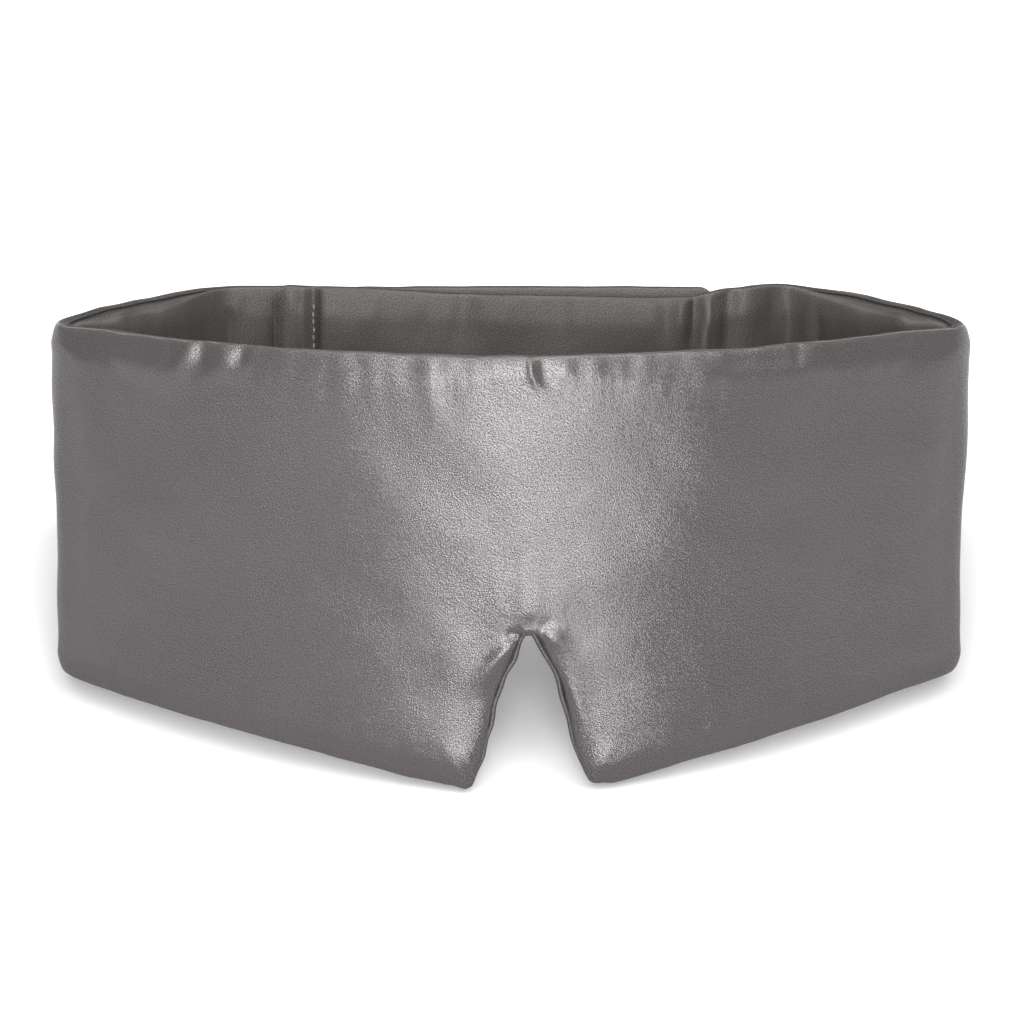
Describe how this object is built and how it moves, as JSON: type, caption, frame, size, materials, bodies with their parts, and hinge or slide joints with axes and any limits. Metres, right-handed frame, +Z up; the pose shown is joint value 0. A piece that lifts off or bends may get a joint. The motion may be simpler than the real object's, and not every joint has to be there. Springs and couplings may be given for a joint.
{
  "type": "sleep eye mask",
  "caption": "Wrap-around padded satin sleep mask with a nose notch and two overlapping rear straps that close with hook-and-loop tape.",
  "frame": {"origin": "bottom centre of the bounding box, on the surface that the mask stands on", "axes": "+X towards the end of the outer strap, along the width of the mask; +Y from the front panel to the rear straps; +Z up. The mask leans back about X by 17.56 degrees, on its two lobes and its rear hem"},
  "size_m": [0.2552, 0.1362, 0.1196],
  "materials": {
    "satin": "grey satin with a soft sheen",
    "lining": "grey satin, the side against the skin",
    "padding": "white fibre filling",
    "blackout": "matt black interlining",
    "thread": "grey polyester sewing thread",
    "hook_tape": "dark grey nylon hooks",
    "loop_tape": "dark grey brushed pile"
  },
  "bodies": {
    "front": {"front_outer_shell": "satin", "front_lining": "lining", "front_blackout_layer": "blackout", "front_padding": "padding"},
    "left_side": {"left_side_outer_shell": "satin", "left_side_lining": "lining", "left_side_padding": "padding"},
    "left_rear": {"left_rear_outer_shell": "satin", "left_rear_lining": "lining", "left_rear_padding": "padding"},
    "left_flap": {"left_flap_outer_shell": "satin", "left_flap_lining": "lining", "left_flap_padding": "padding"},
    "hook_tab": {"hook_tab_outer_shell": "satin", "hook_tab_lining": "lining", "hook_tab_padding": "padding", "hook_tape": "hook_tape", "hook_tape_stitches": "thread"},
    "right_side": {"right_side_outer_shell": "satin", "right_side_lining": "lining", "right_side_padding": "padding"},
    "right_rear": {"right_rear_outer_shell": "satin", "right_rear_lining": "lining", "right_rear_padding": "padding", "loop_tape": "loop_tape", "loop_tape_stitches": "thread", "strap_end_stitches": "thread"}
  },
  "joints": [
    {"name": "left_temple_fold", "type": "hinge", "parent": "front", "child": "left_side", "pos_m": [-0.12369, -0.00139, 0.04593], "axis": [0, 0.3017, 0.9534], "range_deg": [-4, 23]},
    {"name": "left_rear_fold", "type": "hinge", "parent": "left_side", "child": "left_rear", "pos_m": [-0.091, 0.04096, 0.03253], "axis": [0, 0.3017, 0.9534], "range_deg": [-23, 4]},
    {"name": "right_temple_fold", "type": "hinge", "parent": "front", "child": "right_side", "pos_m": [0.12369, -0.00139, 0.04593], "axis": [0, 0.3017, 0.9534], "range_deg": [-23, 4]},
    {"name": "right_rear_fold", "type": "hinge", "parent": "right_side", "child": "right_rear", "pos_m": [0.091, 0.04096, 0.03253], "axis": [0, 0.3017, 0.9534], "range_deg": [-4, 23]},
    {"name": "closure_open", "type": "hinge", "parent": "left_rear", "child": "left_flap", "pos_m": [-0.045, 0.05474, 0.04391], "axis": [0, 0.3017, 0.9534], "range_deg": [0, 135]},
    {"name": "tab_peel", "type": "hinge", "parent": "left_flap", "child": "hook_tab", "pos_m": [0.018, 0.05474, 0.04391], "axis": [0, 0.3017, 0.9534], "range_deg": [0, 90]}
  ],
  "couplings": [
    {"joint": "left_rear_fold", "follows": "left_temple_fold", "ratio": -1},
    {"joint": "right_temple_fold", "follows": "left_temple_fold", "ratio": -1},
    {"joint": "right_rear_fold", "follows": "left_temple_fold", "ratio": 1}
  ]
}
